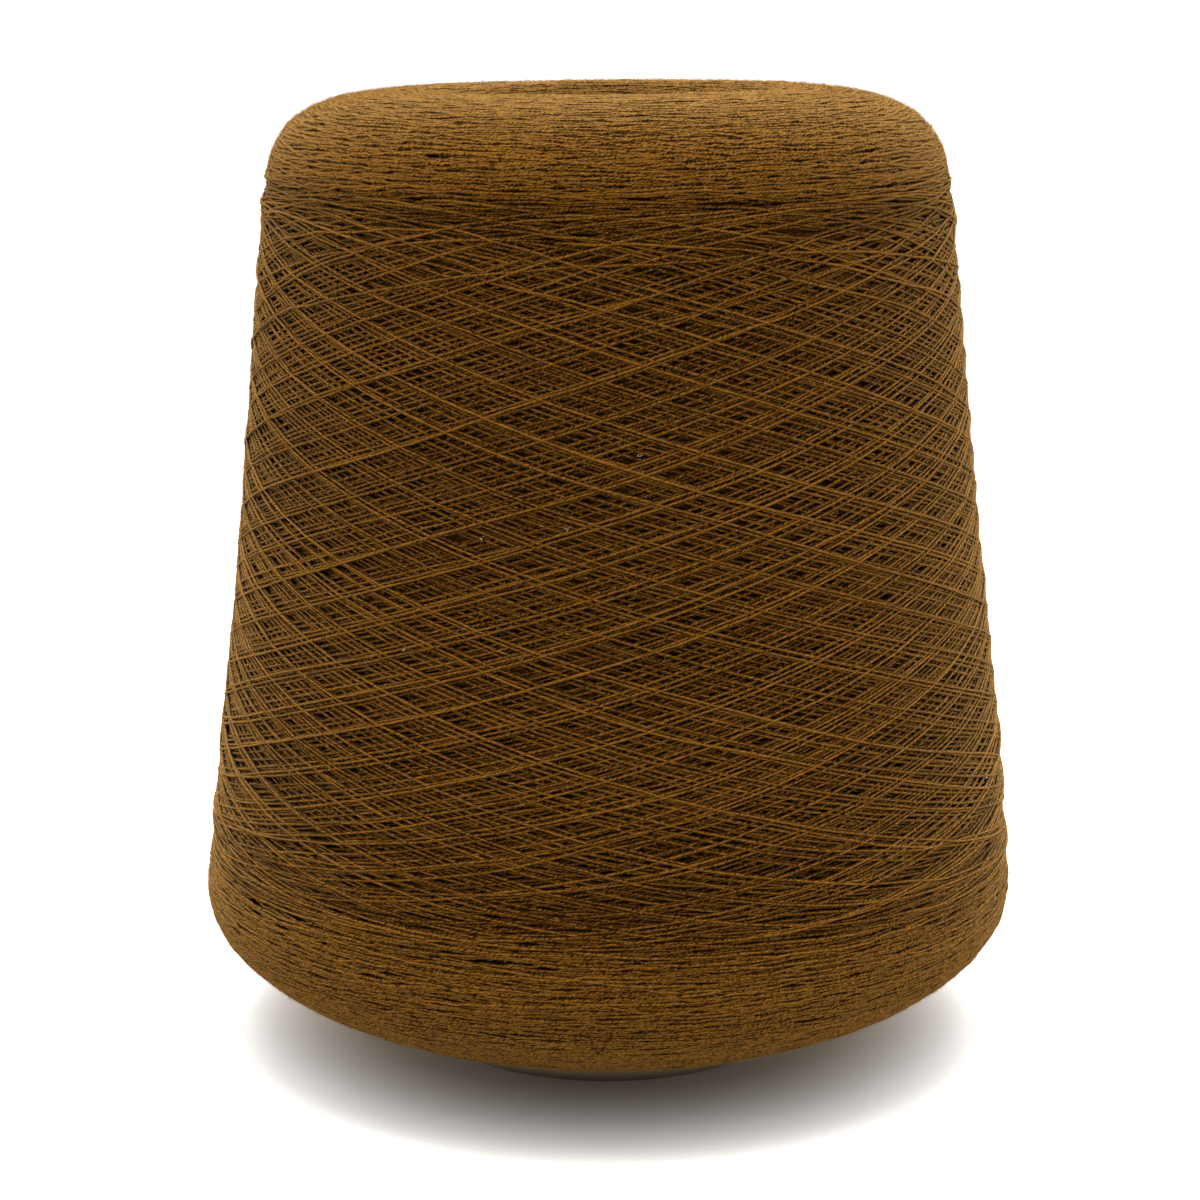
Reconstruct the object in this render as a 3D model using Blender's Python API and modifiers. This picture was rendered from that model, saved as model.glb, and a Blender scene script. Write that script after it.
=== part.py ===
"""A cone of yarn: a cross-wound package of two-ply yarn on a tapered paper core.

Lengths are in metres. The origin is the middle of the core's base and +Z is the
core's axis, so the package stands on the core's rim, its nose up.
"""

import math

import bpy
from mathutils import Vector
from mathutils.geometry import interpolate_bezier

# Both pieces are turned about Z.
STEPS = 96

# The core is the standard paper cone of 170 mm and 5 degrees 57 minutes.
CORE_LENGTH = 0.170
CORE_BASE_RADIUS = 0.0345
CORE_TAPER = math.radians(5.95)
CORE_WALL = 0.002
RIM_EASE = 0.0003  # chamfer on the two edges of the cut rim
NOSE_ARC_POINTS = 7  # the nose is rounded over the whole wall

# The wound package, as cut through its axis. Its flank is parallel to the core.
WINDING_START = 0.0057  # height of the underside at the core
WIDEST_RADIUS = 0.0753
WIDEST_HEIGHT = 0.0307
FLANK_LENGTH = 0.1215
CREST_RADIUS = 0.034
PACKAGE_HEIGHT = 0.176
DISH_FLOOR = 0.166  # height of the yarn at the core, inside the crest

# How fully each bend swells: the reach of its curve's two handles.
UNDERSIDE_SLOPE = math.radians(5)
UNDERSIDE_REACH = 0.0175
FOOT_REACH = 0.0142
SHOULDER_REACH = 0.0144
CREST_REACH = 0.0272
DISH_LIP_REACH = 0.008
DISH_FLOOR_REACH = Vector((0.005, 0.003))

FIT_GAP = 0.0003  # between the yarn and the core

YARN_BROWN = (0.195, 0.082, 0.014, 1.0)
PAPER_TAUPE = (0.33, 0.28, 0.21, 1.0)


def core_radius(height):
    """Outer radius of the paper core at a height."""
    return CORE_BASE_RADIUS - height * math.tan(CORE_TAPER)


def bend(start, start_handle, end_handle, end, points):
    """Points of one curved stretch of a profile, without its last point."""
    return interpolate_bezier(start, start_handle, end_handle, end, points)[:-1]


def material(name, colour, roughness):
    made = bpy.data.materials.new(name)
    made.use_nodes = True
    shader = made.node_tree.nodes["Principled BSDF"]
    shader.inputs["Base Color"].default_value = colour
    shader.inputs["Roughness"].default_value = roughness
    shader.inputs["Metallic"].default_value = 0.0
    made.diffuse_color = colour
    return made


def turned(name, profile, surface):
    """A solid of revolution from a closed profile of (radius, height) points.

    The profile goes down the outer side and up the inner side.
    """
    mesh = bpy.data.meshes.new(name)
    count = len(profile)
    corners = [(radius, 0.0, height) for radius, height in profile]
    edges = [(i, (i + 1) % count) for i in range(count)]
    mesh.from_pydata(corners, edges, [])
    mesh.materials.append(surface)
    piece = bpy.data.objects.new(name, mesh)
    parts.objects.link(piece)
    screw = piece.modifiers.new("turn", "SCREW")
    screw.angle = 2 * math.pi
    screw.steps = STEPS
    screw.render_steps = STEPS
    screw.use_merge_vertices = True
    screw.merge_threshold = 0.00001
    screw.use_smooth_shade = True
    return piece


def package_profile():
    """Outline of the wound yarn, from the crest down the flank and up the bore."""
    up_flank = Vector((-math.sin(CORE_TAPER), math.cos(CORE_TAPER)))
    crest = Vector((CREST_RADIUS, PACKAGE_HEIGHT))
    widest = Vector((WIDEST_RADIUS, WIDEST_HEIGHT))
    flank_top = widest + up_flank * FLANK_LENGTH
    bore_foot = Vector((core_radius(WINDING_START) + FIT_GAP, WINDING_START))
    bore_top = Vector((core_radius(DISH_FLOOR) + FIT_GAP, DISH_FLOOR))
    shoulder = bend(
        crest,
        crest + Vector((CREST_REACH, 0)),
        flank_top + up_flank * SHOULDER_REACH,
        flank_top,
        14,
    )
    outward = Vector((math.cos(UNDERSIDE_SLOPE), math.sin(UNDERSIDE_SLOPE)))
    underside = bend(
        widest,
        widest - up_flank * FOOT_REACH,
        bore_foot + outward * UNDERSIDE_REACH,
        bore_foot,
        13,
    )
    dish = bend(
        bore_top,
        bore_top + DISH_FLOOR_REACH,
        crest - Vector((DISH_LIP_REACH, 0)),
        crest,
        8,
    )
    middle_of_flank = (flank_top + widest) / 2
    return [*shoulder, flank_top, middle_of_flank, *underside, bore_foot, *dish]


def core_profile():
    """Outline of the paper wall: outer side, cut rim, inner side, rounded nose."""
    half_wall = CORE_WALL / 2
    nose_height = CORE_LENGTH - half_wall
    nose_middle = core_radius(nose_height) - half_wall
    nose = []
    for i in range(NOSE_ARC_POINTS):
        turn = math.pi * (1 - i / (NOSE_ARC_POINTS - 1))
        across = half_wall * math.cos(turn)
        along = half_wall * math.sin(turn)
        nose.append((nose_middle + across, nose_height + along))
    inner_radius = CORE_BASE_RADIUS - CORE_WALL
    rim = [
        (core_radius(RIM_EASE), RIM_EASE),
        (CORE_BASE_RADIUS - RIM_EASE, 0.0),
        (inner_radius + RIM_EASE, 0.0),
        (inner_radius, RIM_EASE),
    ]
    return [*nose, *rim]


for old in list(bpy.data.objects):
    bpy.data.objects.remove(old)

parts = bpy.data.collections.new("cone_of_yarn")
bpy.context.scene.collection.children.link(parts)

turned("yarn_package", package_profile(), material("brown_yarn", YARN_BROWN, 0.9))
turned("paper_core", core_profile(), material("grey_paper", PAPER_TAUPE, 0.85))
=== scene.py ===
"""A cone of brown two-ply yarn, cross-wound on a paper core, standing on a pale table.

Lengths are in metres and +Z is up the core. Azimuth 0 faces the camera, along -Y,
and grows towards +X.
"""

import bpy
import numpy as np
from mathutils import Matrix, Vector
from mathutils.geometry import interpolate_bezier


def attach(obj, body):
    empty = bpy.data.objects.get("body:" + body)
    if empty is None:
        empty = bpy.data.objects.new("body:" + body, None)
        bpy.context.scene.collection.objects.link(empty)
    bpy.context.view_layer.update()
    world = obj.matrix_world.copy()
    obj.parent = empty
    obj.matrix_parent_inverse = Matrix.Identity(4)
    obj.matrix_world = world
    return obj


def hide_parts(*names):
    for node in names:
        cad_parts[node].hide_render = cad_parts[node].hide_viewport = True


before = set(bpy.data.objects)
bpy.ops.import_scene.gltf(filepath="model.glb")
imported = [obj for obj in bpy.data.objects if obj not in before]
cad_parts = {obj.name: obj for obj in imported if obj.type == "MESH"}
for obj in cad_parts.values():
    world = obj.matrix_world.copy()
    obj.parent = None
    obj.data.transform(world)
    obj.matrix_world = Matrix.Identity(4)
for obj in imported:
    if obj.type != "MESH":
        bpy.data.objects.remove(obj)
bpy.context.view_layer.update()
bpy.ops.object.select_all(action="DESELECT")


# ---------------------------------------------------------------------------
# Paper core. A cone of grey-brown recycled board, rolled in a spiral and glued, with a
# hard pressed skin. It is the CAD node itself, with the board's finish. Only its
# cut rim shows under the yarn.
# ---------------------------------------------------------------------------

CORE_PAPER = "#75644A"
CORE_FIBRE_DARK = "#52432F"
CORE_RIM_DARK = "#46392A"  # darker along the foot of the cut rim
RIM_DARKEST_TO = 0.0006  # up to this height
RIM_DARK_ENDS = 0.0016
BOARD_FIBRES = (500, 500, 2600)  # for each metre, so that they run round the core
CORE_TAPER = np.radians(5.95)
CORE_BASE_RADIUS = 0.0345


def linear(hex_colour):
    """sRGB hex to the linear colour that shaders take."""
    parts = [int(hex_colour[i : i + 2], 16) / 255 for i in (1, 3, 5)]
    return [c / 12.92 if c <= 0.04045 else ((c + 0.055) / 1.055) ** 2.4 for c in parts] + [1.0]


def new_material(name, **finish):
    """A material, its tree and its Principled shader, which takes the finish as its inputs."""
    made = bpy.data.materials.new(name)
    made.use_nodes = True
    shader = made.node_tree.nodes["Principled BSDF"]
    for key, value in finish.items():
        shader.inputs[key.replace("_", " ")].default_value = value
    return made, made.node_tree, shader


def node(tree, kind, feeds=None, **settings):
    """Adds a node. A setting names a property or an input. feeds gives inputs sockets or values."""
    made = tree.nodes.new(kind)
    for name, value in settings.items():
        if hasattr(made, name):
            setattr(made, name, value)
    for socket in made.inputs:
        key = socket.name.replace(" ", "_")
        if key in settings and not hasattr(made, key):
            socket.default_value = settings[key]
    for socket, source in (feeds or {}).items():
        if isinstance(source, bpy.types.NodeSocket):
            tree.links.new(source, made.inputs[socket])
        else:
            made.inputs[socket].default_value = source
    return made


def maths(tree, operation, *values, **settings):
    """What a Math node makes of its sockets and numbers."""
    return node(tree, "ShaderNodeMath", dict(enumerate(values)), operation=operation, **settings).outputs[0]


def share_between(tree, value, low, high, full=1.0):
    """0 up to the low value, the full share from the high value on, and even in between."""
    feeds = {"Value": value, "From Min": low, "From Max": high, "To Max": full}
    return node(tree, "ShaderNodeMapRange", feeds).outputs[0]


def blend(tree, share, first, second):
    """The first colour where the share is 0, and the second where it is 1."""
    return node(tree, "ShaderNodeMixRGB", {"Fac": share, "Color1": first, "Color2": second}).outputs[0]


# Recycled board, pressed smooth and unvarnished: matt, with darker fibres in it. They run
# round the core, about 2 mm long and a fifth of a millimetre thick.
board, tree, shader = new_material("grey_core_board", Roughness=0.85, IOR=1.5, Specular_IOR_Level=0.3)
place = node(tree, "ShaderNodeTexCoord")
drawn_out = node(tree, "ShaderNodeMapping", {"Vector": place.outputs["Object"]}, Scale=BOARD_FIBRES)
fibres = node(
    tree, "ShaderNodeTexNoise", {"Vector": drawn_out.outputs[0]}, Scale=1.0, Detail=4.0, Roughness=0.6
)
mottle = blend(tree, fibres.outputs["Fac"], linear(CORE_FIBRE_DARK), linear(CORE_PAPER))
height = node(tree, "ShaderNodeSeparateXYZ", {"Vector": place.outputs["Object"]})
# the rim's colour is darker towards its foot on the table
above_dark_foot = share_between(tree, height.outputs["Z"], RIM_DARKEST_TO, RIM_DARK_ENDS)
tree.links.new(blend(tree, above_dark_foot, linear(CORE_RIM_DARK), mottle), shader.inputs["Base Color"])
relief = node(tree, "ShaderNodeBump", {"Height": fibres.outputs["Fac"]}, Strength=0.4, Distance=0.0002)
tree.links.new(relief.outputs[0], shader.inputs["Normal"])
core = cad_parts["paper_core"]
core.data.materials.clear()
core.data.materials.append(board)


# ---------------------------------------------------------------------------
# Form of the package. The yarn is wound by a traverse that keeps the flank
# parallel to the core, and its ends round off by themselves. The profile runs
# from the core's base, under the package, up the flank and into the dished top.
# ---------------------------------------------------------------------------

WINDING_START = 0.0057
WIDEST_RADIUS = 0.0753
WIDEST_HEIGHT = 0.0307
FLANK_LENGTH = 0.1215
CREST_RADIUS = 0.034
PACKAGE_HEIGHT = 0.176
DISH_FLOOR = 0.166
CORE_CLEARANCE = 0.0003
PROFILE_POINTS = 60  # in each bend

# How fully each bend swells: the length of its curve's two handles.
UNDERSIDE_SLOPE = np.radians(5)
UNDERSIDE_HANDLE = 0.0175
FOOT_HANDLE = 0.0142
SHOULDER_HANDLE = 0.0144
CREST_HANDLE = 0.0272
DISH_LIP_HANDLE = 0.008
DISH_FLOOR_HANDLE = Vector((0.005, 0.003))


def core_radius(height):
    """Outer radius of the paper core at a height."""
    return CORE_BASE_RADIUS - height * np.tan(CORE_TAPER)


def bend(start, start_handle, end_handle, end):
    """Points of one curved stretch of the profile."""
    return [tuple(p) for p in interpolate_bezier(start, start_handle, end_handle, end, PROFILE_POINTS)]


up_flank = Vector((-np.sin(CORE_TAPER), np.cos(CORE_TAPER)))
widest = Vector((WIDEST_RADIUS, WIDEST_HEIGHT))
flank_top = widest + up_flank * FLANK_LENGTH
crest = Vector((CREST_RADIUS, PACKAGE_HEIGHT))
bore_foot = Vector((core_radius(WINDING_START) + CORE_CLEARANCE, WINDING_START))
bore_top = Vector((core_radius(DISH_FLOOR) + CORE_CLEARANCE, DISH_FLOOR))
outward = Vector((np.cos(UNDERSIDE_SLOPE), np.sin(UNDERSIDE_SLOPE)))
underside = bend(
    bore_foot, bore_foot + outward * UNDERSIDE_HANDLE, widest - up_flank * FOOT_HANDLE, widest
)
shoulder = bend(
    flank_top, flank_top + up_flank * SHOULDER_HANDLE, crest + Vector((CREST_HANDLE, 0)), crest
)
dish = bend(crest, crest - Vector((DISH_LIP_HANDLE, 0)), bore_top + DISH_FLOOR_HANDLE, bore_top)
profile = np.array(underside + shoulder + dish[1:])
steps = np.hypot(*np.diff(profile, axis=0).T)
profile_reach = np.concatenate([[0], np.cumsum(steps)])
REACH = profile_reach[-1]
UNDERSIDE_END = profile_reach[len(underside) - 1]
FLANK_END = UNDERSIDE_END + FLANK_LENGTH
along = np.gradient(profile, profile_reach, axis=0)
along /= np.hypot(*along.T)[:, None]


# Soft yarn doesn't wind quite round. These are heights off the true form, and where on the
# flank each has its middle and how far it spreads.
LOW_SWELL = 0.0009  # on the right
SWELL_MIDDLE = 0.026
SWELL_SPREAD = 0.030
WAIST = 0.0008  # on the left
WAIST_MIDDLE = 0.066
WAIST_SPREAD = 0.042
CREST_TILT = 0.0003  # up on the right, down on the left
TILT_START = 0.010  # past the flank
TILT_SPREAD = 0.030


def unevenness(azimuth, reach):
    """How far the wound yarn stands off the true turned form."""
    right = (0.5 + 0.5 * np.sin(azimuth)) ** 2
    left = (0.5 - 0.5 * np.sin(azimuth)) ** 2
    swell = LOW_SWELL * right * np.exp(-(((reach - UNDERSIDE_END - SWELL_MIDDLE) / SWELL_SPREAD) ** 2))
    waist = WAIST * left * np.exp(-(((reach - UNDERSIDE_END - WAIST_MIDDLE) / WAIST_SPREAD) ** 2))
    crest_share = np.clip((reach - FLANK_END - TILT_START) / TILT_SPREAD, 0, 1)
    return swell - waist + CREST_TILT * np.sin(azimuth) * crest_share


def on_form(azimuth, reach, lift):
    """Points at an azimuth, a reach along the profile and a lift off the form.

    The form's normals there come with them.
    """
    lift = lift + unevenness(azimuth, reach)
    radius = np.interp(reach, profile_reach, profile[:, 0])
    height = np.interp(reach, profile_reach, profile[:, 1])
    out = np.interp(reach, profile_reach, along[:, 1])
    up = -np.interp(reach, profile_reach, along[:, 0])
    side = np.stack([np.sin(azimuth), -np.cos(azimuth)])
    normal = np.stack([side[0] * out, side[1] * out, up], axis=1)
    normal /= np.linalg.norm(normal, axis=1)[:, None]
    centre = np.stack([side[0] * radius, side[1] * radius, height], axis=1)
    return centre + normal * lift[:, None], normal


# ---------------------------------------------------------------------------
# Winding. A map of the package's surface holds how high the yarn stands on it.
# Each turn is laid on what is there, pulled taut over it, and then raises the map
# under itself, as on the winder.
# ---------------------------------------------------------------------------

YARN_WIDTH = 0.00060  # on the package, where its own tension flattens it
YARN_THICKNESS = 0.00046
PRESSED = 0.00027  # what a crossing adds, as the yarns press into each other
MAP_CELL = 0.00025
MAP_COLUMNS = 2048
SAMPLE_COLUMNS = 1.2  # from one sample of a strand to the next
SAMPLES = MAP_COLUMNS / (2 * np.pi) / SAMPLE_COLUMNS  # for each radian
SOFTNESS = 0.45  # how far a strand follows the bed's mean height
NEAR = np.linspace(-0.0004, 0.0004, 5)  # sideways places that a strand tries
END_EASE = 0.00006  # the lower, the more surely a strand slides into the deepest groove
FLANK_EASE = 0.00015
LEAST_BOW = 0.15  # of a level turn's curvature, where the form is nearly flat

# Half widths of the windows that smooth a height, in samples of a strand or rows of the map.
GROOVE_WINDOW = 24
BED_WINDOW = 30
TRUING_WINDOW = 8
FINISHED_WINDOW = 12

rng = np.random.default_rng(5)
map_rows = int(REACH / MAP_CELL) + 2
surface = np.zeros((map_rows, MAP_COLUMNS))
trued_by = np.zeros(map_rows)
map_reach = np.arange(map_rows) * MAP_CELL
across = np.linspace(-0.8, 0.8, 5)  # places across a strand, in half widths
crown = np.sqrt(1 - across**2) * PRESSED / 2


def radius_at(reach):
    """Radius of the package's form at a reach along the profile."""
    return np.interp(reach, profile_reach, profile[:, 0])


def cells(azimuth, reach, places):
    """Cells of the map under the strand, one column for each place across it."""
    radius = radius_at(reach)
    run, rise = np.gradient(azimuth) * radius, np.gradient(reach)
    length = np.hypot(run, rise)
    half = YARN_WIDTH / 2
    wide_reach = reach[:, None] + (run / length)[:, None] * places * half
    wide_azimuth = azimuth[:, None] - (rise / length / radius)[:, None] * places * half
    rows = np.clip(np.round(wide_reach / MAP_CELL).astype(int), 0, map_rows - 1)
    columns = np.round(wide_azimuth / (2 * np.pi) * MAP_COLUMNS).astype(int) % MAP_COLUMNS
    return rows, columns


def blurred(values, width):
    """Values smoothed along a strand."""
    window = np.hanning(2 * width + 1)
    padded = np.pad(values, width, mode="edge")
    return np.convolve(padded, window / window.sum(), mode="valid")


def pull_taut(distance, floor, bow):
    """Where a taut strand touches the floor under it. bow is the form's curvature along it."""
    level = (floor - bow * distance**2 / 2).tolist()
    at = distance.tolist()
    touch = []
    for i in range(len(at)):
        while len(touch) > 1:
            a, b = touch[-2], touch[-1]
            if (level[i] - level[a]) * (at[b] - at[a]) < (level[b] - level[a]) * (at[i] - at[a]):
                break
            touch.pop()
        touch.append(i)
    return np.array(touch)


class Strand:
    """One run of yarn as laid: its samples, its lift off the form, and where it touches."""

    def __init__(self, azimuth, reach, lift, touch):
        self.azimuth = azimuth
        self.reach = reach
        self.lift = lift
        self.touch = touch
        self.trued_by = trued_by.copy()


def settle(azimuth, reach, ease):
    """Lets a strand slide a little sideways into the grooves of the bed."""
    tried = []
    for offset in NEAR:
        rows, columns = cells(azimuth, reach + offset, np.array([-0.5, 0, 0.5]))
        tried.append(blurred(surface[rows, columns].max(axis=1), GROOVE_WINDOW))
    tried = np.array(tried)
    weight = np.exp(-(tried - tried.min(axis=0)) / ease)
    return reach + (weight * NEAR[:, None]).sum(axis=0) / weight.sum(axis=0)


def lay(azimuth, reach, ease, dive=0.0):
    """Lays a stretch of yarn on the package. dive is how deep it is pushed under."""
    reach = np.clip(settle(azimuth, reach, ease), MAP_CELL, REACH - MAP_CELL)
    rows, columns = cells(azimuth, reach, across)
    floor = (surface[rows[:, 1:-1], columns[:, 1:-1]] + crown[1:-1]).max(axis=1)
    mean = blurred(floor, BED_WINDOW)
    floor = mean + (floor - mean) * (1 - SOFTNESS)
    radius = radius_at(reach)
    stretches = np.hypot(np.diff(azimuth) * radius[1:], np.diff(reach))
    distance = np.concatenate([[0], np.cumsum(stretches)])
    bow = max(LEAST_BOW, np.interp(reach.mean(), profile_reach, along[:, 1])) / radius.mean()
    touch = pull_taut(distance, floor, bow)
    level = floor[touch] - bow * distance[touch] ** 2 / 2
    lift = np.interp(distance, distance[touch], level) + bow * distance**2 / 2 - dive
    np.maximum.at(surface, (rows, columns), lift[:, None] + crown)
    return Strand(azimuth, reach, lift, touch)


def true_up():
    """Keeps the bed level with the form, as the traverse does by its length."""
    height = blurred(blurred(surface.mean(axis=1), TRUING_WINDOW), TRUING_WINDOW)
    surface[:] -= height[:, None]
    trued_by[:] += height


def wander(distance, length, size):
    """A smooth random swing, with a knot every length."""
    knots = int(distance[-1] / length) + 3
    values = rng.normal(0, size, knots)
    place = distance / length + rng.uniform(0, 1)
    i = place.astype(int)
    t = place - i
    ease = t * t * (3 - 2 * t)
    return values[i] * (1 - ease) + values[i + 1] * ease


# Ends of the package. The yarn turns back at each end of its traverse, and the
# traverse shortens as the package grows, so a rounded end shows only the nearly
# level arcs in which the yarn turned, the innermost first.

WINDING_ANGLE = np.radians(18)  # at the middle of the flank
MIDDLE_RADIUS = 0.0693
CLIMB = np.tan(WINDING_ANGLE) * MIDDLE_RADIUS  # metres for each radian
TURN_BACK = 0.020  # reach over which the climb dies away at the lower end
TOP_TURN_BACK = 0.010  # and at the upper end
LOW_END = UNDERSIDE_END + 0.0065
HIGH_END = FLANK_END + 0.0085
END_MARGIN = 0.0005  # from the core to the first arc's middle
COVER = 3.0  # arcs over each other
ARC_LENGTHS = (0.060, 0.110)
LONGEST_HALF = 2.9  # of an arc, in radians
ARC_SHARPNESS = (0.8, 2.0)  # the lower, the sharper it turns
ARC_SCATTER = 0.0004  # across the package
ARC_TILT = 0.055
ARC_SWING = 0.0026  # length of its small swings
ARC_SWING_SIZE = 0.00015
ARC_DIVE = 0.0012  # how deep its two ends are pushed under
PLACES_TRIED = 5  # round the package, and the lowest is taken
ARCS_TO_TRUE = 20  # from one truing of the bed to the next


def wind_end(first, last, toward):
    """Arcs in which the yarn turned back, laid from a first reach to a last one."""
    strands = []
    peak = first
    direction = np.sign(last - first)
    while (last - peak) * direction > 0:
        radius = radius_at(peak)
        length = rng.uniform(*ARC_LENGTHS)
        half = min(length / 2 / radius, LONGEST_HALF)
        turn = np.linspace(-half, half, int(2 * half * SAMPLES))
        distance = (turn + half) * radius
        slope = np.interp(peak, profile_reach, along[:, 1]) * np.cos(CORE_TAPER)
        sharp = TURN_BACK * rng.uniform(*ARC_SHARPNESS)
        sag = (turn * radius * np.tan(WINDING_ANGLE)) ** 2 / (4 * sharp)
        reach = peak + rng.normal(0, ARC_SCATTER) + toward * sag * abs(slope)
        reach = reach + turn * radius * rng.normal(0, ARC_TILT)
        reach = reach + wander(distance, ARC_SWING, ARC_SWING_SIZE)
        reach = np.clip(reach, MAP_CELL, REACH - MAP_CELL)
        dive = ARC_DIVE * np.abs(turn / half) ** 5
        lowest = None
        for candidate in rng.uniform(0, 2 * np.pi, PLACES_TRIED):
            rows, columns = cells(candidate + turn, reach, across)
            height = surface[rows, columns].mean()
            if lowest is None or height < lowest[0]:
                lowest = (height, candidate)
        strands.append(lay(lowest[1] + turn, reach, END_EASE, dive))
        if len(strands) % ARCS_TO_TRUE == 0:
            true_up()
        peak += direction * YARN_WIDTH * length / (2 * np.pi * radius) / COVER
    return strands


underside_strands = wind_end(END_MARGIN, LOW_END, 1)
top_strands = wind_end(REACH - END_MARGIN, HIGH_END, -1)

# Flank. The yarn climbs at about 18 degrees, turns back at the shoulder and comes
# down again. Each trip up and down takes 52/23 turns of the package and a little
# more, so every 23rd trip lies beside the one before, and the turns gather in
# ribbons.

TRIPS = 460
RIBBONS = 23
TURNS = 52 / RIBBONS
RIBBON_TURNS = 5
SPACING = 0.00068  # between neighbours in a ribbon, square to them
SPACING_SHARES = (0.8, 1.6)
RIBBON_GAP = 0.0024  # from one ribbon's last turn to the next one's first
FIRST_AZIMUTH = 0.4
TURNS_SCATTER = 0.0004
SLIP = 0.0017  # of a turn, by which a run lies beside its place
WILD_TRIP = 7  # every so many trips
WILD_SLIP = 3  # it slips so many times as far
HIGH_SCATTER = 0.0028  # short of the upper end
LOW_SCATTER = 0.0030
LOW_FADE = 0.03  # reach over which an early or late turning dies away
HIGH_FADE = 0.02
RUN_SWING = 0.035  # length of a run's slow swings
RUN_SWING_SIZE = 0.00025
TRIPS_TO_TRUE = 4
FINISHED_PERCENTILE = 85


def climb_path(low, high, start_azimuth, upward):
    """Azimuth and reach of one trip along the flank, level at both ends.

    A trip that turns back early or late does so near the end only.
    """
    low_turn = 2 * TURN_BACK / CLIMB
    high_turn = 2 * TOP_TURN_BACK / CLIMB
    total = low_turn + high_turn + (HIGH_END - LOW_END - TURN_BACK - TOP_TURN_BACK) / CLIMB
    t = np.linspace(0, total, int(total * SAMPLES))
    reach = LOW_END + TURN_BACK + (t - low_turn) * CLIMB
    reach = np.where(t < low_turn, LOW_END + CLIMB * t**2 / (2 * low_turn), reach)
    reach = np.where(t > total - high_turn, HIGH_END - CLIMB * (total - t) ** 2 / (2 * high_turn), reach)
    reach = reach + (low - LOW_END) * np.clip(1 - (reach - LOW_END) / LOW_FADE, 0, 1)
    reach = reach + (high - HIGH_END) * np.clip(1 - (HIGH_END - reach) / HIGH_FADE, 0, 1)
    if not upward:
        reach = reach[::-1]
    return start_azimuth + t, reach


flank_strands = []
start = FIRST_AZIMUTH
low = LOW_END
round_there = MIDDLE_RADIUS * np.sin(WINDING_ANGLE) * 2 * np.pi
for trip in range(TRIPS):
    if trip % RIBBONS == 0:
        gap = SPACING * rng.uniform(*SPACING_SHARES)
        if trip // RIBBONS % RIBBON_TURNS == 0:
            gap = RIBBON_GAP
    ratio = TURNS + gap / round_there / RIBBONS + rng.normal(0, TURNS_SCATTER)
    slip = rng.normal(0, SLIP, 2) * (WILD_SLIP if trip % WILD_TRIP == 0 else 1)
    high = HIGH_END - abs(rng.normal(0, HIGH_SCATTER))
    next_low = LOW_END + abs(rng.normal(0, LOW_SCATTER))
    up_azimuth, up_reach = climb_path(low, high, start, True)
    down_azimuth, down_reach = climb_path(next_low, high, up_azimuth[-1], False)
    stretch = ratio * 2 * np.pi / (down_azimuth[-1] - start)
    ways = ((up_azimuth, up_reach, slip[0]), (down_azimuth, down_reach, slip[1]))
    for azimuth, reach, shift in ways:
        azimuth = start + (azimuth - start) * stretch + shift * 2 * np.pi
        distance = (azimuth - azimuth[0]) * MIDDLE_RADIUS
        reach = reach + wander(distance, RUN_SWING, RUN_SWING_SIZE)
        flank_strands.append(lay(azimuth, reach, FLANK_EASE))
    if (trip + 1) % TRIPS_TO_TRUE == 0:
        true_up()
    start += ratio * 2 * np.pi
    low = next_low

# The finished surface is trued to the form, by its height along the profile.
outer_height = blurred(np.percentile(surface, FINISHED_PERCENTILE, axis=1), FINISHED_WINDOW)
trued_by += outer_height


# ---------------------------------------------------------------------------
# Yarn. Two-ply wool-type yarn, soft spun, twisted and dyed brown. It is wound on in
# one length, and each stretch of it that shows is a tube along the turn as laid.
# ---------------------------------------------------------------------------

YARN_BROWN = "#59390F"
YARN_DARK = "#1C0900"
# the pale of the yarn's sheen: the shader's sheen tint, and the sheen painted into its colour
YARN_HAZE = "#CBAA72"
PLY_PITCH = 0.88  # millimetres along the strand, from one ply's crossing to the next
UNEVEN_LENGTHS = (0.45, 0.0, 0.0)  # swings of the twist for each millimetre
UNEVEN_TWIST = 16.0  # radians
TUFTS_ALONG = 0.8  # for each millimetre
TUFTS_ACROSS = 1.35 / (2 * np.pi)  # for each radian of the twist
TUFT_NOISE = (0.13, 0.87)  # from no tuft to a full one
# painted shade: how much darker the colour is in the groove between the plies
GROOVE_PAINTED_SHADE = 0.06
STRAND_TONE = 0.28
FLANK_FROM = 0.12  # of the way round a strand, from its crown
FLANK_TO = 0.31
FLANK_SHADE = -0.58
MATTED_SHADE = -0.5  # so much less of it, where it is matted
TONES = (0.38, 0.74)  # from the dark brown to the full one
# shares of the pale sheen painted into the colour: where seen edge on, and a little more on the matted ends
SHEEN_SHARE = 0.10
MATTED_SHEEN_SHARE = 0.007  # more, where it is matted
FLEECE_LEAN = 0.2  # of a strand's normal towards the form's
MATTED_LEAN = 0.70
TUFT_RELIEF = 6.0  # for each ply's
RELIEF_DEPTH = 0.00005

# Soft spun wool is matt and has no gloss at all. Its plies and tufts slant round it. Painted shade darkens
# its grooves, its flanks and its deeper strands, and a sheen of its nap, painted into its colour, pales it
# where it is seen edge on.
yarn, tree, shader = new_material(
    "brown_two_ply_wool",
    Roughness=0.9,
    Specular_IOR_Level=0.0,
    Sheen_Weight=0.06,
    Sheen_Roughness=0.45,
    Sheen_Tint=linear(YARN_HAZE),
)
# each strand's random tone, mixed with painted shade that darkens strands lying deeper
tone = node(tree, "ShaderNodeAttribute", attribute_name="tone").outputs["Fac"]
matted = node(tree, "ShaderNodeAttribute", attribute_name="matted").outputs["Fac"]
form = node(tree, "ShaderNodeAttribute", attribute_name="outward").outputs["Vector"]
laid = node(tree, "ShaderNodeUVMap", uv_map="strand")
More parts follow.
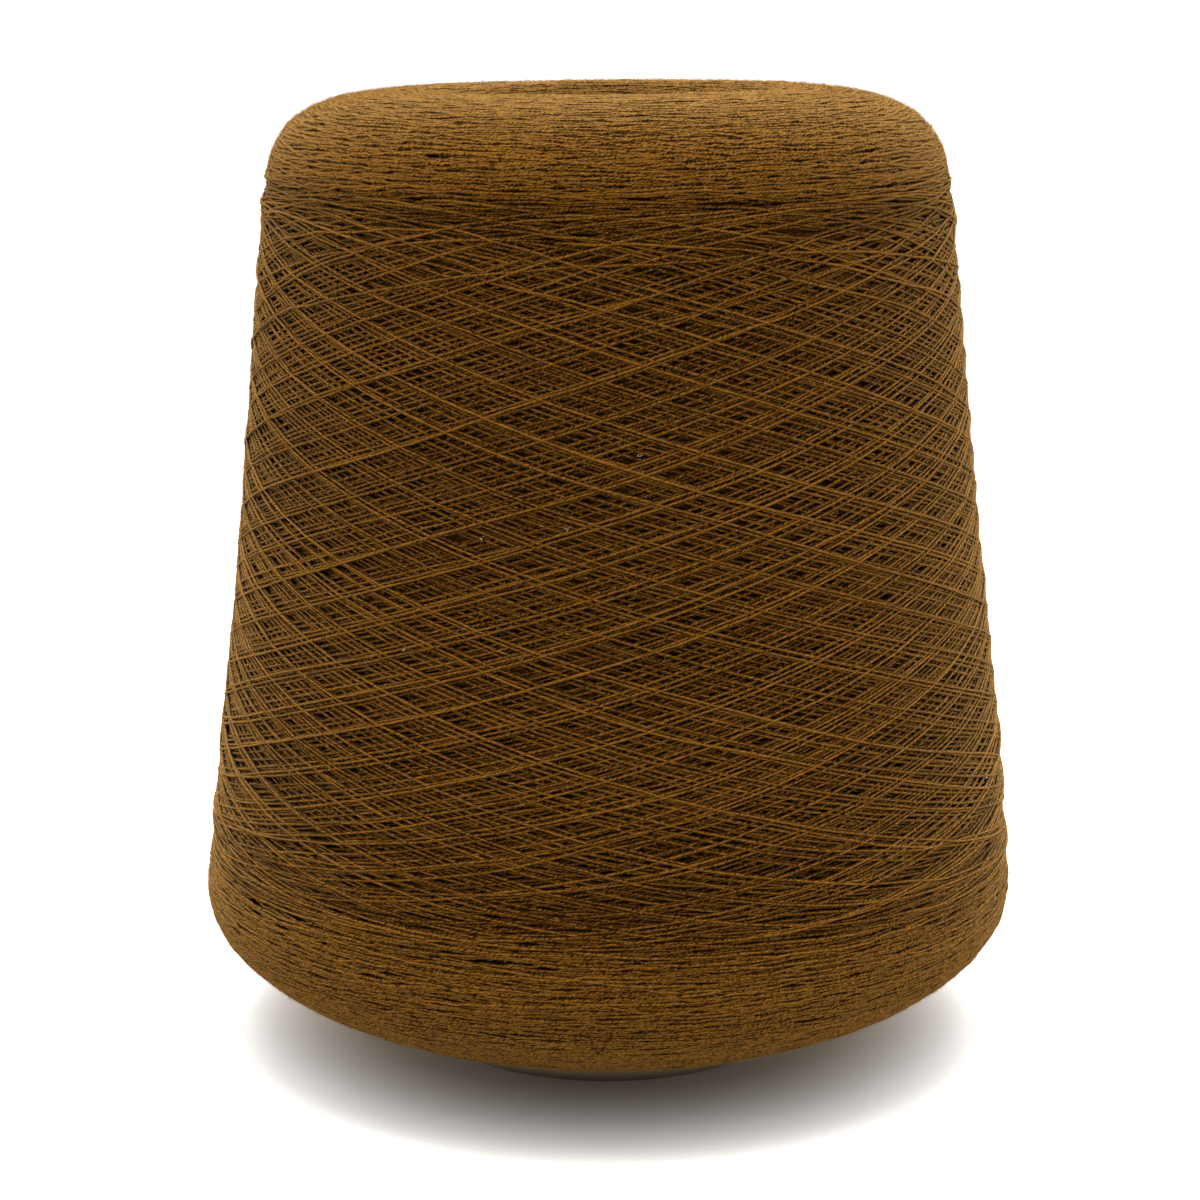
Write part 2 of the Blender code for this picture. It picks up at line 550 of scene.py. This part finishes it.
# u is the length in millimetres, v goes once round the strand from its crown
split = node(tree, "ShaderNodeSeparateXYZ", {"Vector": laid.outputs[0]})
ply_phase = maths(tree, "MULTIPLY", split.outputs["X"], 2 * np.pi / PLY_PITCH)
round_phase = maths(tree, "MULTIPLY", split.outputs["Y"], 4 * np.pi)
twist = maths(tree, "ADD", ply_phase, round_phase)
# the twist is uneven, so it runs ahead and falls back along the strand
uneven_place = node(tree, "ShaderNodeMapping", {"Vector": laid.outputs[0], "Scale": UNEVEN_LENGTHS})
uneven = node(tree, "ShaderNodeTexNoise", {"Vector": uneven_place.outputs[0]}, Scale=1.0, Detail=2.0)
twist_angle = maths(tree, "MULTIPLY_ADD", uneven.outputs["Fac"], UNEVEN_TWIST, twist)
ply = maths(tree, "SINE", twist_angle)
# tufts of fibre slant with the twist, about three quarters of a millimetre from one to the next
along_twist = node(tree, "ShaderNodeCombineXYZ", {"X": split.outputs["X"], "Y": twist_angle})
tuft_scale = (TUFTS_ALONG, TUFTS_ACROSS, 1.0)
tuft_place = node(tree, "ShaderNodeMapping", {"Vector": along_twist.outputs[0], "Scale": tuft_scale})
fibre = node(
    tree, "ShaderNodeTexNoise", {"Vector": tuft_place.outputs[0]}, Scale=1.0, Detail=3.0, Roughness=0.6
)
tufts = share_between(tree, fibre.outputs["Fac"], *TUFT_NOISE)
# painted shade in the groove between the plies, the fibres' own tones, and the strand's tone with its
# painted depth shade
with_groove_shade = maths(tree, "MULTIPLY_ADD", ply, GROOVE_PAINTED_SHADE, tufts)
mixed = maths(tree, "MULTIPLY_ADD", tone, STRAND_TONE, with_groove_shade)
# painted shade: a strand's flanks are darkened, as in the shade of their own fibres, less where it is
# matted
flank = maths(tree, "PINGPONG", split.outputs["Y"], 0.5)
sunk = share_between(tree, flank, FLANK_FROM, FLANK_TO, FLANK_SHADE)
flank_shade_share = maths(tree, "MULTIPLY_ADD", matted, MATTED_SHADE, 1.0)
# the matted ends are rougher: their tufts show more
tousled = maths(tree, "SUBTRACT", tufts, 0.5)
rougher = maths(tree, "MULTIPLY_ADD", tousled, matted, mixed)
shaded = maths(tree, "MULTIPLY_ADD", sunk, flank_shade_share, rougher)
shade = share_between(tree, shaded, *TONES)
colour = blend(tree, shade, linear(YARN_DARK), linear(YARN_BROWN))
# the sheen of loose fibres seen edge on, painted into the colour: it goes by the package's form, not by the
# strand's own roundness; the underside keeps it in its own painted shade, and the matted ends are painted a
# little paler
edge_on = node(tree, "ShaderNodeLayerWeight", {"Normal": form}, Blend=0.5)
painted_sheen = maths(tree, "POWER", edge_on.outputs["Facing"], 2.0)
lies = node(tree, "ShaderNodeSeparateXYZ", {"Vector": form})
in_light = maths(tree, "ADD", lies.outputs["Z"], 1.0, use_clamp=True)
lit_painted_sheen = maths(tree, "MULTIPLY", painted_sheen, in_light)
matted_painted_sheen = maths(tree, "MULTIPLY", matted, MATTED_SHEEN_SHARE)
painted_sheen_share = maths(tree, "MULTIPLY_ADD", lit_painted_sheen, SHEEN_SHARE, matted_painted_sheen)
tree.links.new(blend(tree, painted_sheen_share, colour, linear(YARN_HAZE)), shader.inputs["Base Color"])
# the fleece scatters light, so a strand shades less than a hard rod, least where it is matted
fleece = maths(tree, "MULTIPLY_ADD", matted, MATTED_LEAN, FLEECE_LEAN)
lean = node(tree, "ShaderNodeVectorMath", {0: form, "Scale": fleece}, operation="SCALE")
rounded = node(tree, "ShaderNodeNewGeometry")
leaned = node(
    tree, "ShaderNodeVectorMath", {0: rounded.outputs["Normal"], 1: lean.outputs[0]}, operation="ADD"
)
facing = node(tree, "ShaderNodeVectorMath", {0: leaned.outputs[0]}, operation="NORMALIZE")
height = maths(tree, "MULTIPLY_ADD", tufts, TUFT_RELIEF, ply)
bumps = {"Height": height, "Normal": facing.outputs[0], "Distance": RELIEF_DEPTH}
relief = node(tree, "ShaderNodeBump", bumps, Strength=1.0)
tree.links.new(relief.outputs[0], shader.inputs["Normal"])


HIDDEN = 0.00025  # a strand that lies deeper than this under the others isn't drawn
MARGIN = 0.0014  # but it is drawn for this length beyond where it dives out of sight


def shown_runs(strand):
    """Stretches of a strand that the finished package leaves in sight."""
    rows, columns = cells(strand.azimuth, strand.reach, across)
    sunk = (trued_by - outer_height - strand.trued_by)[rows]
    top = strand.lift[:, None] + crown - sunk
    seen = (top > surface[rows, columns] - HIDDEN).any(axis=1)
    step = np.diff(strand.azimuth).mean() * radius_at(strand.reach.mean())
    margin = int(MARGIN / step)
    count = np.convolve(seen, np.ones(2 * margin + 1), mode="same") > 0
    edges = np.flatnonzero(np.diff(np.concatenate([[0], count.astype(int), [0]])))
    return [(a, b - 1) for a, b in zip(edges[::2], edges[1::2]) if b - a > 4 * margin]


def bends_of(strand, first, last, shortest, longest):
    """Samples that carry the strand's shape: its contacts, and some between."""
    step = np.diff(strand.azimuth).mean() * radius_at(strand.reach.mean())
    fine, coarse = int(shortest / step), int(longest / step)
    picked = [first]
    for i in strand.touch[(strand.touch > first) & (strand.touch < last)]:
        if i - picked[-1] >= fine:
            picked.append(int(i))
    picked.append(last)
    full = []
    for a, b in zip(picked[:-1], picked[1:]):
        parts = max(1, -(-(b - a) // coarse))
        full += [a + (b - a) * k // parts for k in range(parts)]
    full.append(last)
    return np.array(full)


SIDES = 3
PROUD = 0.00012  # a strand that stands higher than this is pressed down
PROUD_KEPT = 0.4  # to this share of what it stands past it
PROUDEST = 0.00025
DEEP = 0.00015  # and one that lies lower than this is pushed up by those under it
DEEP_KEPT = 0.8
SWAY = 0.00003  # sideways, from one bend of a strand to the next
MATTED_SWAY = 3.2  # so many times as far, where it is matted
PITCH_SCATTER = 60  # millimetres of twist in a metre, more or less
FULLNESS_SCATTER = 0.08
# painted shade by depth: a strand that lies deeper under the others is darker, and these set how much
OWN_TONE = 0.55  # a strand's own share of its tone, and its height has the rest
DARK_DEPTH = 0.00045  # where it is darkest
TONE_RISE = 0.00055  # from there to where it is palest
MATTED_TONE = 0.45  # matted strands come closer to this one tone
RIPPLE = 0.00008  # up and down, where the ends' strands are matted together
END_RELIEF = 0.55  # the rounded ends are packed this much flatter than the flank
END_THICKNESS = 0.4  # and their strands are pressed to this share of their thickness


def relief_share(reach):
    """How much of its height off the form a strand keeps."""
    places = [LOW_END - 0.010, LOW_END + 0.006, HIGH_END - 0.005, HIGH_END + 0.002]
    return np.interp(reach, places, [END_RELIEF, 1, 1, END_RELIEF])


def matted_share(reach):
    """How far the strands are matted together, from 0 on the flank to 1 on the ends."""
    places = [LOW_END - 0.012, LOW_END + 0.009, HIGH_END - 0.001, HIGH_END + 0.012]
    return np.interp(reach, places, [0.6, 0, 0, 1])


def wool_piece(name, points, loops, sizes, wool):
    """A smooth-shaded piece of the package, from its points, its corners and each face's count."""
    mesh = bpy.data.meshes.new(name)
    mesh.vertices.add(len(points))
    mesh.vertices.foreach_set("co", points.astype(np.float32).ravel())
    mesh.loops.add(len(loops))
    mesh.loops.foreach_set("vertex_index", loops.astype(np.int32))
    mesh.polygons.add(len(sizes))
    mesh.polygons.foreach_set("loop_start", (np.cumsum(sizes) - sizes).astype(np.int32))
    mesh.polygons.foreach_set("use_smooth", np.ones(len(sizes), bool))
    mesh.materials.append(wool)
    mesh.update()
    piece = bpy.data.objects.new(name, mesh)
    bpy.context.scene.collection.objects.link(piece)
    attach(piece, "root")
    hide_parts("yarn_package")
    return mesh


def yarn_mesh(name, strands, shortest, longest):
    """One mesh of three-sided tubes, shaded round, along the shown stretches of the strands."""
    points, uvs, loops, sizes, tones, outwards, matted = [], [], [], [], [], [], []
    base = 0
    for strand in strands:
        length = (strand.azimuth - strand.azimuth[0]) * radius_at(strand.reach.mean())
        strand_tone = rng.uniform(0, 1)
        twist_pitch = rng.normal(1000, PITCH_SCATTER)
        twist_start = rng.uniform(0, 100)
        trued = strand.lift - np.interp(strand.reach, map_reach, trued_by - strand.trued_by)
        pressed = np.minimum(PROUD + (trued - PROUD) * PROUD_KEPT, PROUDEST)
        trued = np.where(trued > PROUD, pressed, trued)
        raised = (trued + DEEP) * DEEP_KEPT - DEEP
        trued = np.where(trued < -DEEP, raised, trued) * relief_share(strand.reach)
        for first, last in shown_runs(strand):
            i = bends_of(strand, first, last, shortest, longest)
            if len(i) < 3:
                continue
            loose = 1 - matted_share(strand.reach[i])
            ripple = rng.normal(0, RIPPLE, len(i)) * (1 - loose)
            centre, normal = on_form(strand.azimuth[i], strand.reach[i], trued[i] + ripple)
            ahead = np.gradient(centre, axis=0)
            ahead /= np.linalg.norm(ahead, axis=1)[:, None]
            side = np.cross(ahead, normal)
            side /= np.linalg.norm(side, axis=1)[:, None]
            sway = rng.normal(0, SWAY, len(i)) * (MATTED_SWAY - (MATTED_SWAY - 1) * loose)
            centre = centre + side * sway[:, None]
            full = 1 + rng.normal(0, FULLNESS_SCATTER, len(i))
            wide = side * (YARN_WIDTH / 2 * full)[:, None]
            roundness = END_THICKNESS + (1 - END_THICKNESS) * loose
            thick = normal * (YARN_THICKNESS / 2 * full * roundness)[:, None]
            ring = np.stack([centre + thick, centre + wide - thick / 2, centre - wide - thick / 2], axis=1)
            n = len(i)
            points.append(ring.reshape(-1, 3))
            corner = np.arange(SIDES)
            k = np.arange(n - 1)[:, None] * SIDES + corner[None, :]
            nxt = np.arange(n - 1)[:, None] * SIDES + (corner[None, :] + 1) % SIDES
            quads = np.stack([k, nxt, nxt + SIDES, k + SIDES], axis=-1).reshape(-1, 4)
            loops.append(quads.ravel() + base)
            loops.append(np.array([2, 1, 0]) + base)
            loops.append(np.array([0, 1, 2]) + base + SIDES * (n - 1))
            sizes.append(np.full(len(quads), 4))
            sizes.append(np.array([3, 3]))
            u = length[i] * twist_pitch + twist_start
            v = np.arange(SIDES + 1) / SIDES
            uv = np.zeros((n - 1, SIDES, 4, 2))
            uv[..., 0] = np.stack([u[:-1], u[:-1], u[1:], u[1:]], axis=-1)[:, None, :]
            uv[..., 1] = np.stack([v[:-1], v[1:], v[1:], v[:-1]], axis=-1)[None, :, :]
            uvs.append(uv.reshape(-1, 2))
            uvs.append(np.tile([u[0], 0.0], (SIDES, 1)))
            uvs.append(np.tile([u[-1], 0.0], (SIDES, 1)))
            # painted shade: the deeper a strand lies, the darker its tone, mixed with its own random tone
            shallow = np.clip((trued[i] + DARK_DEPTH) / TONE_RISE, 0, 1)
            off_tone = OWN_TONE * strand_tone + (1 - OWN_TONE) * shallow - MATTED_TONE
            tones.append(np.repeat(MATTED_TONE + off_tone * (0.5 + 0.5 * loose), SIDES))
            outwards.append(np.repeat(normal, SIDES, axis=0))
            matted.append(np.repeat(1 - loose, SIDES))
            base += SIDES * n
    points, loops, sizes, uvs = (np.concatenate(part) for part in (points, loops, sizes, uvs))
    mesh = wool_piece(name, points, loops, sizes, yarn)
    layer = mesh.uv_layers.new(name="strand")
    layer.uv.foreach_set("vector", uvs.astype(np.float32).ravel())
    for attribute, values in (("tone", tones), ("matted", matted)):
        made = mesh.attributes.new(attribute, "FLOAT", "POINT")
        made.data.foreach_set("value", np.concatenate(values).astype(np.float32))
    outward = mesh.attributes.new("outward", "FLOAT_VECTOR", "POINT")
    outward.data.foreach_set("vector", np.concatenate(outwards).astype(np.float32).ravel())
    mesh.validate()


COARSE_REACH = 0.021  # the turns nearer to the core face the table and are drawn more coarsely
low_turns = [strand for strand in underside_strands if strand.reach.mean() < COARSE_REACH]
foot_turns = [strand for strand in underside_strands if strand.reach.mean() >= COARSE_REACH]
yarn_mesh("underside_turns", low_turns, shortest=0.0050, longest=0.0085)
yarn_mesh("foot_turns", foot_turns, shortest=0.0023, longest=0.0052)
yarn_mesh("top_turns", top_strands, shortest=0.0018, longest=0.0045)
GROUPS = 4
for group in range(GROUPS):
    first = group * len(flank_strands) // GROUPS
    last = (group + 1) * len(flank_strands) // GROUPS
    yarn_mesh(f"flank_turns_{group + 1}", flank_strands[first:last], shortest=0.0022, longest=0.0058)


# ---------------------------------------------------------------------------
# Nap. Fine wool fibres stand off the yarn all over, most about a millimetre long, with
# a few longer hairs. Together they soften the package where it is seen edge on. They
# are drawn twice as coarse as real ones, so that fewer do.
# ---------------------------------------------------------------------------

NAP_BROWN = "#5F4520"
NAP_TAN = "#84622F"
FUZZ_FIBRES = 150000
END_FIBRES = 120000
FUZZ_WIDTH = 0.00004
FUZZ_LENGTHS = (0.0004, 0.0013)
FLATTEST = 0.05  # sine of how a fibre stands, before it lies down
STEEPEST = 0.9
HAIRS = 500
HAIR_WIDTH = 0.00004
HAIR_LENGTHS = (0.0012, 0.0035)
HAIR_ROOT = 0.55  # of its length, up to its bend
HAIR_END = 0.45
HAIR_STANDS = (0.1, 0.5)
HAIR_CURL = 0.5
SPOTS_TRIED = 8  # for each fibre
DEEPEST_FOOT = 0.00035  # no fibre grows lower between the turns than this
FOOT_SUNK = 0.00005

# Single wool fibres: matt, paler than the yarn, since light goes through them. They are
# thinner than a pixel, so a fresh tone comes only about every 0.7 mm.
fluff, tree, shader = new_material("loose_wool_fibre", Roughness=0.8, Specular_IOR_Level=0.0)
place = node(tree, "ShaderNodeTexCoord")
tones = node(tree, "ShaderNodeTexNoise", {"Vector": place.outputs["Object"]}, Scale=1500.0, Detail=1.0)
wool_colour = blend(tree, tones.outputs["Fac"], linear(NAP_BROWN), linear(NAP_TAN))
tree.links.new(wool_colour, shader.inputs["Base Color"])


def standing_places(count, on_flank):
    """Random feet on the finished surface, with the form's normal and two level directions there.

    on_flank is how many grow on the flank for each one on the ends.
    """
    share = 2 * np.pi * profile[:-1, 0] * steps
    tries = SPOTS_TRIED * count
    spot = np.searchsorted(np.cumsum(share) / share.sum(), rng.uniform(0, 1, tries))
    reach = profile_reach[spot] + rng.uniform(0, 1, tries) * steps[spot]
    azimuth = rng.uniform(0, 2 * np.pi, tries)
    rows = np.clip((reach / MAP_CELL).round().astype(int), 0, map_rows - 1)
    columns = (azimuth / (2 * np.pi) * MAP_COLUMNS).astype(int) % MAP_COLUMNS
    lift = surface[rows, columns] - outer_height[rows]
    grown = on_flank + (1 - on_flank) * matted_share(reach)
    kept = np.flatnonzero((lift > -DEEPEST_FOOT) & (rng.uniform(0, 1, tries) < grown))[:count]
    azimuth, reach = azimuth[kept], reach[kept]
    lift = np.minimum(lift[kept], PROUD) * relief_share(reach)
    foot, normal = on_form(azimuth, reach, lift - FOOT_SUNK)
    level = np.stack([np.cos(azimuth), np.sin(azimuth), np.zeros(len(kept))], axis=1)
    return foot, normal, level, np.cross(normal, level)


def fuzz(name, count, on_flank, lying):
    """Short straight fibres, one pointed blade each. The more lying, the flatter they are."""
    foot, normal, level, rise = standing_places(count, on_flank)
    count = len(foot)
    heading = rng.uniform(0, 2 * np.pi, count)[:, None]
    stand = np.arcsin(rng.uniform(FLATTEST, 1.0, count) ** lying * STEEPEST)[:, None]
    flat = level * np.cos(heading) + rise * np.sin(heading)
    ahead = flat * np.cos(stand) + normal * np.sin(stand)
    aside = np.cross(ahead, normal)
    aside /= np.linalg.norm(aside, axis=1)[:, None]
    roll = rng.uniform(-np.pi / 2, np.pi / 2, count)[:, None]
    wide = (aside * np.cos(roll) + np.cross(ahead, aside) * np.sin(roll)) * FUZZ_WIDTH / 2
    tip = foot + ahead * rng.uniform(*FUZZ_LENGTHS, count)[:, None]
    points = np.stack([foot - wide, foot + wide, tip], axis=1)
    facing = (np.cross(points[:, 1] - points[:, 0], points[:, 2] - points[:, 0]) * normal).sum(axis=1)
    points[facing < 0] = points[facing < 0][:, [1, 0, 2]]
    wool_piece(name, points.reshape(-1, 3), np.arange(3 * count), np.full(count, 3), fluff)


def hairs(name, places, lengths, width, wool):
    """Longer bent fibres, three-sided and pointed."""
    foot, normal, level, rise = places
    count = len(foot)
    heading = rng.uniform(0, 2 * np.pi, count)[:, None]
    flat = level * np.cos(heading) + rise * np.sin(heading)
    aside = np.cross(normal, flat)
    length = rng.uniform(*lengths, count)[:, None]
    stand = rng.uniform(*HAIR_STANDS, count)[:, None]
    curl = rng.normal(0, HAIR_CURL, count)[:, None]
    middle = foot + (flat * np.sqrt(1 - stand**2) + normal * stand) * length * HAIR_ROOT
    tip = middle + (flat * 0.9 + aside * curl + normal * stand * 0.1) * length * HAIR_END
    rings = []
    for centre, size in ((foot, 1.0), (middle, 0.8)):
        for turn in (0, 2 * np.pi / 3, 4 * np.pi / 3):
            round_it = aside * np.cos(turn) + np.cross(flat, aside) * np.sin(turn)
            rings.append(centre + round_it * width / 2 * size)
    points = np.stack([*rings, tip], axis=1).reshape(-1, 3)
    root_end = [(2, 1, 0)]
    sides = [(0, 1, 4), (0, 4, 3), (1, 2, 5), (1, 5, 4), (2, 0, 3), (2, 3, 5)]
    point = [(3, 4, 6), (4, 5, 6), (5, 3, 6)]
    one = root_end + sides + point
    loops = (np.array(one)[None] + 7 * np.arange(count)[:, None, None]).ravel()
    wool_piece(name, points, loops, np.full(len(loops) // 3, 3), wool)


fuzz("fuzz", FUZZ_FIBRES, on_flank=0.32, lying=1.6)
fuzz("fuzz_of_the_ends", END_FIBRES, on_flank=0.0, lying=1.0)
hairs("hairs", standing_places(HAIRS, on_flank=1.0), HAIR_LENGTHS, HAIR_WIDTH, fluff)


# ---------------------------------------------------------------------------
# Lint. Four specks of pale fluff have settled on the front of the flank. Each is a small
# tangle of short fibres.
# ---------------------------------------------------------------------------

LINT_GREY = "#837662"
LINT_PALE = "#B1A38C"
LINT_WIDTH = 0.00005
LINT_LENGTHS = (0.0003, 0.0008)
LINT_FIBRES = 4  # in a speck
LINT_SPREAD = 0.0001
LINT_SPECKS = ((-0.312, 0.1062), (-0.508, 0.0867), (-0.098, 0.108), (0.078, 0.120))  # azimuth, height

# Bare fluff: matt and pale, with nothing of the yarn's dye, a little dusty here and there.
lint, tree, shader = new_material("pale_lint", Roughness=0.8, Specular_IOR_Level=0.0)
place = node(tree, "ShaderNodeTexCoord")
dust = node(tree, "ShaderNodeTexNoise", {"Vector": place.outputs["Object"]}, Scale=3000.0, Detail=1.0)
lint_colour = blend(tree, dust.outputs["Fac"], linear(LINT_GREY), linear(LINT_PALE))
tree.links.new(lint_colour, shader.inputs["Base Color"])

azimuth, height = np.repeat(np.array(LINT_SPECKS), LINT_FIBRES, axis=0).T
azimuth = azimuth + rng.normal(0, LINT_SPREAD, len(azimuth)) / MIDDLE_RADIUS
reach = UNDERSIDE_END + (height - WIDEST_HEIGHT) / np.cos(CORE_TAPER)
reach = reach + rng.normal(0, LINT_SPREAD, len(reach))
foot, normal = on_form(azimuth, reach, np.full(len(reach), PROUD))
level = np.stack([np.cos(azimuth), np.sin(azimuth), np.zeros(len(azimuth))], axis=1)
hairs("lint_specks", (foot, normal, level, np.cross(normal, level)), LINT_LENGTHS, LINT_WIDTH, lint)


# ---------------------------------------------------------------------------
# Inner layers. Under the last turns lies the mass of earlier ones. Only specks of it
# show, deep between the turns, so it is one turned body with their relief.
# ---------------------------------------------------------------------------

INNER_DEPTH = 0.0017
INNER_CLEARANCE = 0.0002
INNER_TURNS = 0.0008  # from one turn to the next, up the package
EVERY = 6  # point of the profile is taken
SPIN_STEPS = 128
BAND_TONE = 0.35
SHADE_DARK = "#1A0C02"
SHADE_BROWN = "#3A2006"

inner_profile = profile - np.stack([along[:, 1], -along[:, 0]], axis=1) * INNER_DEPTH
inner_profile[:, 0] = np.maximum(inner_profile[:, 0], core_radius(inner_profile[:, 1]) + INNER_CLEARANCE)
mesh = bpy.data.meshes.new("inner_layers")
picked = inner_profile[::EVERY]
verts = [(r, 0, z) for r, z in picked]
for z in (picked[-1][1], picked[0][1]):
    verts.append((core_radius(z) + INNER_CLEARANCE, 0, z))
mesh.from_pydata(verts, [(i, (i + 1) % len(verts)) for i in range(len(verts))], [])
inner = bpy.data.objects.new("inner_layers", mesh)
bpy.context.scene.collection.objects.link(inner)
bpy.context.view_layer.objects.active = inner
inner.select_set(True)
bpy.ops.object.mode_set(mode="EDIT")
bpy.ops.mesh.select_all(action="SELECT")
bpy.ops.mesh.spin(steps=SPIN_STEPS, angle=2 * np.pi, center=(0, 0, 0), axis=(0, 0, 1))
bpy.ops.mesh.select_all(action="SELECT")
bpy.ops.mesh.remove_doubles(threshold=0.00001)
bpy.ops.mesh.normals_make_consistent(inside=False)
bpy.ops.object.mode_set(mode="OBJECT")
bpy.ops.object.shade_smooth()
inner.select_set(False)

# The same wool, in its own shade: matt and nearly black, with crossing bands at the
# winding angle, one for each turn.
deep, tree, shader = new_material("brown_wool_in_shade", Roughness=0.95, Specular_IOR_Level=0.0)
place = node(tree, "ShaderNodeTexCoord")
spot = node(tree, "ShaderNodeSeparateXYZ", {"Vector": place.outputs["Object"]})
round_it = maths(tree, "ARCTAN2", spot.outputs["X"], spot.outputs["Y"])
bands = []
for slope in (CLIMB, -CLIMB):
    slant = maths(tree, "MULTIPLY_ADD", round_it, slope, spot.outputs["Z"])
    bands.append(maths(tree, "SINE", maths(tree, "MULTIPLY", slant, 2 * np.pi / INNER_TURNS)))
turns = maths(tree, "MAXIMUM", *bands)
tufts = node(tree, "ShaderNodeTexNoise", {"Vector": place.outputs["Object"]}, Scale=2500.0, Detail=2.0)
mottle = maths(tree, "MULTIPLY_ADD", turns, BAND_TONE, tufts.outputs["Fac"])
inner_colour = blend(tree, mottle, linear(SHADE_DARK), linear(SHADE_BROWN))
tree.links.new(inner_colour, shader.inputs["Base Color"])
inner_relief = node(tree, "ShaderNodeBump", {"Height": mottle}, Strength=1.0, Distance=0.0003)
tree.links.new(inner_relief.outputs[0], shader.inputs["Normal"])
inner.data.materials.append(deep)
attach(inner, "root")
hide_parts("yarn_package")


# ---------------------------------------------------------------------------
# Table. A long sheet of matt white paper that also makes the backdrop, as the camera
# looks down on it. It greys towards its far end, so that the backdrop is only just
# white and the nap shows against it.
# ---------------------------------------------------------------------------

NEAR_PAPER = (0.465, 0.451, 0.435, 1)
FAR_PAPER = (0.20, 0.197, 0.194, 1)
# a shadow and the yarn's brown bounce light, painted on the paper round the cone's foot
PAINTED_FOOT_SHADOW = (0.30, 0.25, 0.20, 1)
CONTACT_MIDDLE = (0, -0.012, 0)
CONTACT_RADIUS = 0.050
CONTACT_FADED = 0.070
GREYS_FROM = 0.10  # away from the camera
GREYS_TO = 0.60
TABLE_SIZE = 80

bpy.ops.mesh.primitive_plane_add(size=TABLE_SIZE, location=(0, 0, 0))
table = bpy.context.active_object
table.name = "table"
white, tree, shader = new_material("matt_white_paper", Roughness=0.9, Specular_IOR_Level=0.0)
place = node(tree, "ShaderNodeTexCoord")
far = node(tree, "ShaderNodeSeparateXYZ", {"Vector": place.outputs["Object"]})
paper = blend(tree, share_between(tree, far.outputs["Y"], GREYS_FROM, GREYS_TO), NEAR_PAPER, FAR_PAPER)
# painted shadow and painted bounce light: round the foot of the cone the paper is darker and takes on the
# brown of the yarn above it
foot_place = node(
    tree, "ShaderNodeMapping", {"Vector": place.outputs["Object"]}, Location=CONTACT_MIDDLE, Scale=(1, 1, 0)
)
from_foot = node(tree, "ShaderNodeVectorMath", {0: foot_place.outputs[0]}, operation="LENGTH")
# the painted shadow fades out between these distances from the foot
clear = share_between(tree, from_foot.outputs["Value"], CONTACT_RADIUS, CONTACT_FADED)
tree.links.new(blend(tree, clear, PAINTED_FOOT_SHADOW, paper), shader.inputs["Base Color"])
table.data.materials.append(white)


# ---------------------------------------------------------------------------
# Light tent. Its cloth is bright at the sides and the back, with a soft box above, and
# it is open and dark in front, where the camera stands.
# ---------------------------------------------------------------------------

TENT_SIDE = 5.5
TENT_CORNER_SHARE = 0.58  # of the side's brightness, halfway to the front
TENT_BACK_SHARE = 0.7
SOFT_BOX = 28.0
SOFT_BOX_EDGE = 20.0  # the higher, the smaller the box
world = bpy.data.worlds.new("light_tent")
bpy.context.scene.world = world
world.use_nodes = True
tree = world.node_tree
background = tree.nodes["Background"]
way = node(tree, "ShaderNodeSeparateXYZ", {"Vector": node(tree, "ShaderNodeTexCoord").outputs["Generated"]})
to_back = share_between(tree, way.outputs["Y"], -1.0, 1.0)
wall = node(tree, "ShaderNodeValToRGB", {"Fac": to_back})
wall.color_ramp.elements[0].color = (0, 0, 0, 1)
wall.color_ramp.elements[1].color = (TENT_BACK_SHARE,) * 3 + (1,)
side = wall.color_ramp.elements.new(0.5)
side.color = (1, 1, 1, 1)
corner = wall.color_ramp.elements.new(0.25)
corner.color = (TENT_CORNER_SHARE,) * 3 + (1,)
up = maths(tree, "MAXIMUM", way.outputs["Z"], 0.0)
box_level = maths(tree, "MULTIPLY", maths(tree, "POWER", up, SOFT_BOX_EDGE), SOFT_BOX)
level = maths(tree, "MULTIPLY_ADD", wall.outputs[0], TENT_SIDE, box_level)
tree.links.new(level, background.inputs["Strength"])
background.inputs["Color"].default_value = (1, 1, 1, 1)


# ---------------------------------------------------------------------------
# Camera, as the outline of the package and the curve of the core's rim give it.
# ---------------------------------------------------------------------------

CAMERA_BACK = 0.51618
CAMERA_HEIGHT = 0.19575
CAMERA_ASIDE = 0.00128
CAMERA_PITCH = 12.46  # degrees down from level
LENS = 84.92  # millimetres
bpy.ops.object.camera_add(
    location=(-CAMERA_ASIDE, -CAMERA_BACK, CAMERA_HEIGHT),
    rotation=(np.radians(90 - CAMERA_PITCH), 0, 0),
)
camera = bpy.context.active_object
camera.name = "camera"
camera.data.lens = LENS
camera.data.sensor_width = 36
camera.data.clip_start = 0.01
bpy.context.scene.camera = camera
bpy.context.scene.view_settings.view_transform = "Standard"
